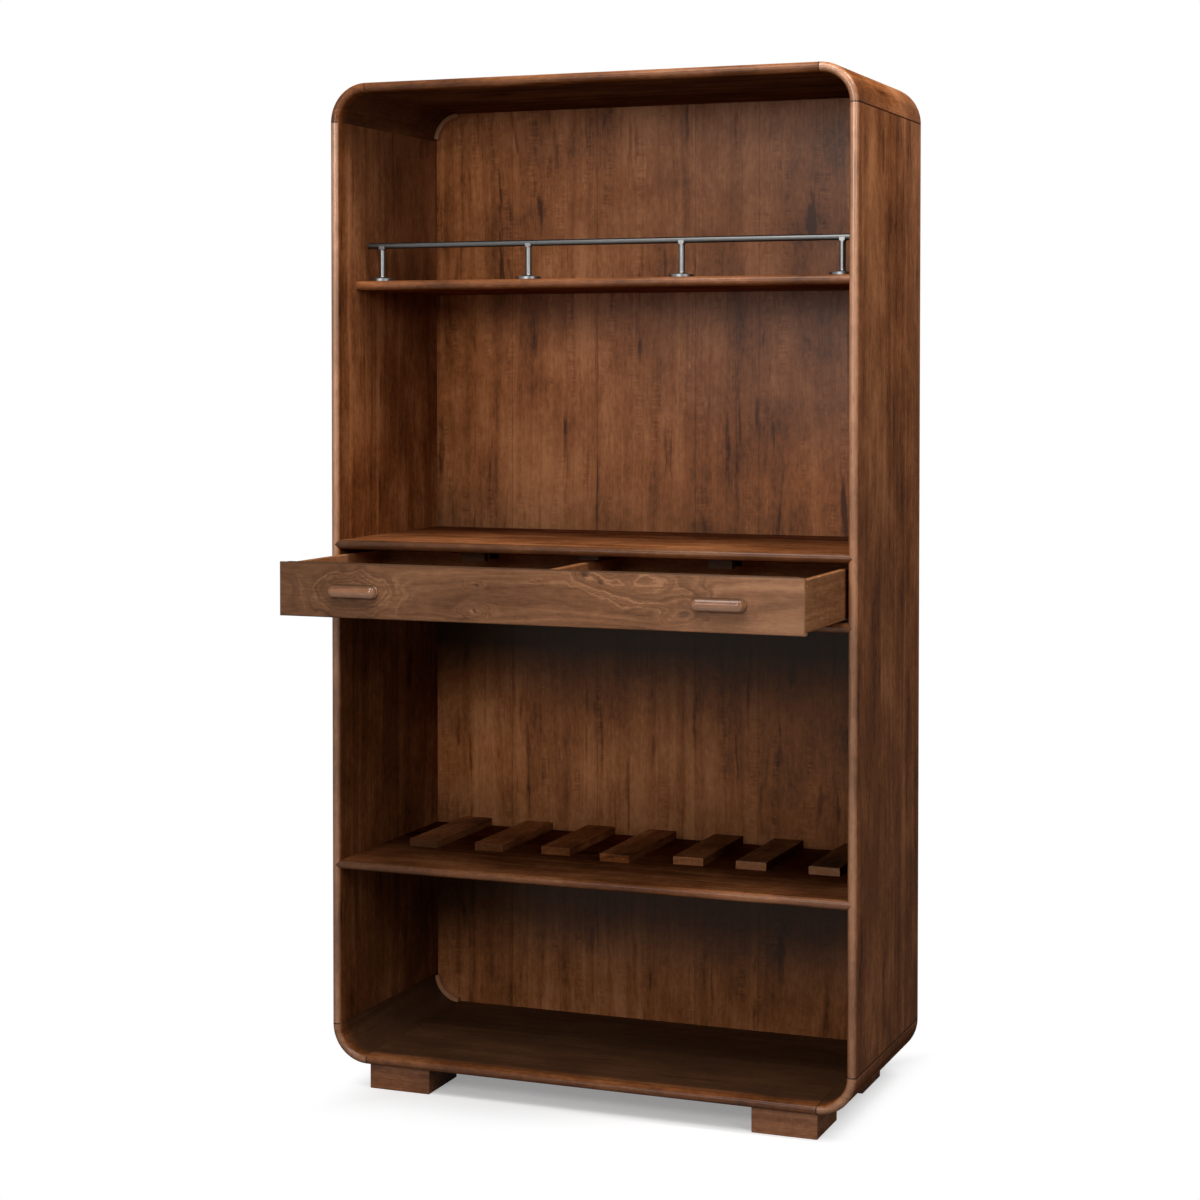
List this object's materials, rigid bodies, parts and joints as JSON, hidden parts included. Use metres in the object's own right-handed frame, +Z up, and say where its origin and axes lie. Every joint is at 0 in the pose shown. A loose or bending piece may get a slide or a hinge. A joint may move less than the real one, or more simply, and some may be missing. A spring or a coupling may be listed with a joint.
{
  "type": "bar cabinet",
  "caption": "Tall open cabinet with round corners, shelves, a lying-bottle rack, a metal gallery rail and one wide drawer that slides out, on square block feet.",
  "frame": {"origin": "on the floor, under the middle of the whole object's bounding box, with the drawer at its rest place, partly open", "axes": "+X to the right seen from the front, +Y to the back, +Z up"},
  "size_m": [1.07, 0.738, 1.98],
  "materials": {
    "carcass_wood": "walnut-brown stained hardwood and veneer under a satin clear coat",
    "front_wood": "paler walnut-brown stained hardwood with knots, satin clear coat",
    "pull_wood": "reddish-brown turned hardwood, semi-gloss clear coat",
    "inner_wood": "lighter ochre-brown hardwood, thinly sealed",
    "rail_metal": "dark brushed nickel-grey steel",
    "screw_steel": "plain zinc-grey screws"
  },
  "bodies": {
    "cabinet": {"side_panel_right": "carcass_wood", "side_panel_left": "carcass_wood", "top_panel": "carcass_wood", "bottom_panel": "carcass_wood", "corner_top_right": "carcass_wood", "corner_top_left": "carcass_wood", "corner_bottom_right": "carcass_wood", "corner_bottom_left": "carcass_wood", "back_cleat_top_right": "carcass_wood", "back_cleat_top_left": "carcass_wood", "back_cleat_bottom_right": "carcass_wood", "back_cleat_bottom_left": "carcass_wood", "bottle_shelf": "carcass_wood", "dust_shelf": "carcass_wood", "middle_shelf": "carcass_wood", "upper_shelf": "carcass_wood", "back_panel": "carcass_wood", "back_screws": "screw_steel", "corner_tongues": "inner_wood", "bottle_batten_1": "carcass_wood", "bottle_batten_2": "carcass_wood", "bottle_batten_3": "carcass_wood", "bottle_batten_4": "carcass_wood", "bottle_batten_5": "carcass_wood", "bottle_batten_6": "carcass_wood", "bottle_batten_7": "carcass_wood", "foot_front_right": "carcass_wood", "foot_rear_right": "carcass_wood", "foot_front_left": "carcass_wood", "foot_rear_left": "carcass_wood", "gallery_rod": "rail_metal", "gallery_post_1": "rail_metal", "gallery_flange_1": "rail_metal", "gallery_post_2": "rail_metal", "gallery_flange_2": "rail_metal", "gallery_post_3": "rail_metal", "gallery_flange_3": "rail_metal", "gallery_post_4": "rail_metal", "gallery_flange_4": "rail_metal", "drawer_kicker": "inner_wood", "drawer_runner_right": "inner_wood", "drawer_runner_left": "inner_wood", "drawer_guide_right": "inner_wood", "drawer_guide_left": "inner_wood", "drawer_stop_right": "inner_wood", "drawer_stop_left": "inner_wood", "turn_button_screws": "screw_steel", "foot_screws": "screw_steel", "gallery_screws": "screw_steel"},
    "drawer": {"drawer_front": "front_wood", "drawer_side_right": "inner_wood", "drawer_side_left": "inner_wood", "drawer_back": "inner_wood", "drawer_floor": "inner_wood", "drawer_divider": "inner_wood", "pull_screws": "screw_steel", "pull_right": "pull_wood", "pull_left": "pull_wood"},
    "button_left": {"turn_button_left": "inner_wood"},
    "button_right": {"turn_button_right": "inner_wood"}
  },
  "joints": [
    {"name": "drawer_slide", "type": "slide", "parent": "cabinet", "child": "drawer", "axis": [0, -1, 0], "range_m": [-0.262, 0.0847]},
    {"name": "button_right_turn", "type": "hinge", "parent": "cabinet", "child": "button_right", "pos_m": [0.2537, -0.03, 1.0662], "axis": [0, 0, 1], "range_deg": [0, 90]},
    {"name": "button_left_turn", "type": "hinge", "parent": "cabinet", "child": "button_left", "pos_m": [-0.2537, -0.03, 1.0662], "axis": [0, 0, -1], "range_deg": [0, 90]}
  ]
}
